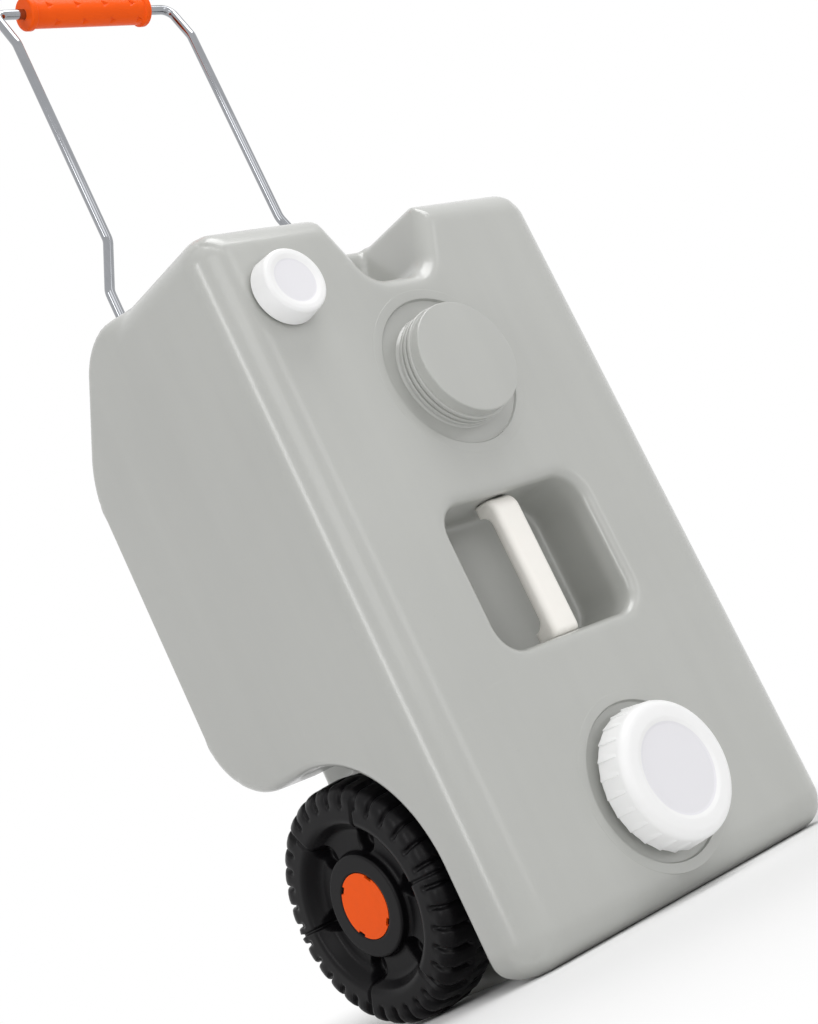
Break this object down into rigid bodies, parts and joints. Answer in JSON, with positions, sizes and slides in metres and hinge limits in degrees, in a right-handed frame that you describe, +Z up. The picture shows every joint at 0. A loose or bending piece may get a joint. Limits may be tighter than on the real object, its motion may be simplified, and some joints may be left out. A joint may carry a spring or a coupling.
{
  "type": "rolling water carrier",
  "caption": "Upright grey water tank with screw caps, a carrying bar in a front recess, wheels in side wells and a sliding bent-rod pull handle, for rolling water to a caravan.",
  "frame": {"origin": "On the floor under the middle of the bounding box, with the tank standing upright on its base.", "axes": "+X to the right seen from the front, +Y to the back (the caps face -Y), +Z up along the tank."},
  "size_m": [0.325, 0.26, 0.8495],
  "materials": {
    "tank": "satin blow-moulded polyethylene",
    "cap": "satin white",
    "bar": "satin white",
    "orange": "satin orange",
    "wheel": "satin black moulding",
    "black": "matt black",
    "spacer": "matt natural",
    "seal": "matt",
    "chromed_rod": "bright",
    "steel": "zinc plated"
  },
  "bodies": {
    "tank": {"tank_shell": "tank", "carry_bar": "bar", "axle": "steel", "left_push_nut": "steel", "right_push_nut": "steel", "left_wheel_spacer": "spacer", "right_wheel_spacer": "spacer", "left_lower_guide": "black", "right_lower_guide": "black", "left_upper_guide": "black", "right_upper_guide": "black", "guide_screws": "steel"},
    "left_wheel": {"left_wheel": "wheel", "left_hub_cap": "orange"},
    "right_wheel": {"right_wheel": "wheel", "right_hub_cap": "orange"},
    "drain_seal": {"drain_cap_seal": "seal"},
    "drain_cap": {"drain_cap": "cap"},
    "vent_seal": {"vent_cap_seal": "seal"},
    "vent_cap": {"vent_cap": "cap"},
    "pull_handle": {"pull_handle_rod": "chromed_rod", "left_rod_stop": "black", "right_rod_stop": "black"},
    "grip": {"grip_sleeve": "orange"}
  },
  "joints": [
    {"name": "left_wheel_spin", "type": "hinge", "parent": "tank", "child": "left_wheel", "pos_m": [-0.137, 0.039, 0.0855], "axis": [1, 0, 0], "continuous": true},
    {"name": "right_wheel_spin", "type": "hinge", "parent": "tank", "child": "right_wheel", "pos_m": [0.137, 0.039, 0.0855], "axis": [1, 0, 0], "continuous": true},
    {"name": "handle_slide", "type": "slide", "parent": "tank", "child": "pull_handle", "axis": [0, 0, 1], "range_m": [-0.25, 0]},
    {"name": "grip_roll", "type": "hinge", "parent": "pull_handle", "child": "grip", "pos_m": [0, 0.09119, 0.836], "axis": [1, 0, 0], "continuous": true},
    {"name": "drain_cap_lift", "type": "slide", "parent": "tank", "child": "drain_seal", "axis": [0, -1, 0], "range_m": [0, 0.018]},
    {"name": "drain_cap_turn", "type": "hinge", "parent": "drain_seal", "child": "drain_cap", "pos_m": [0, -0.118, 0.078], "axis": [0, -1, 0], "range_deg": [0, 1080]},
    {"name": "vent_cap_lift", "type": "slide", "parent": "tank", "child": "vent_seal", "axis": [0, -1, 0], "range_m": [0, 0.012]},
    {"name": "vent_cap_turn", "type": "hinge", "parent": "vent_seal", "child": "vent_cap", "pos_m": [-0.113, -0.113, 0.473], "axis": [0, -1, 0], "range_deg": [0, 720]}
  ],
  "couplings": [
    {"joint": "drain_cap_lift", "follows": "drain_cap_turn", "m_per_rad": 0.00095493},
    {"joint": "vent_cap_lift", "follows": "vent_cap_turn", "m_per_rad": 0.00095493}
  ]
}
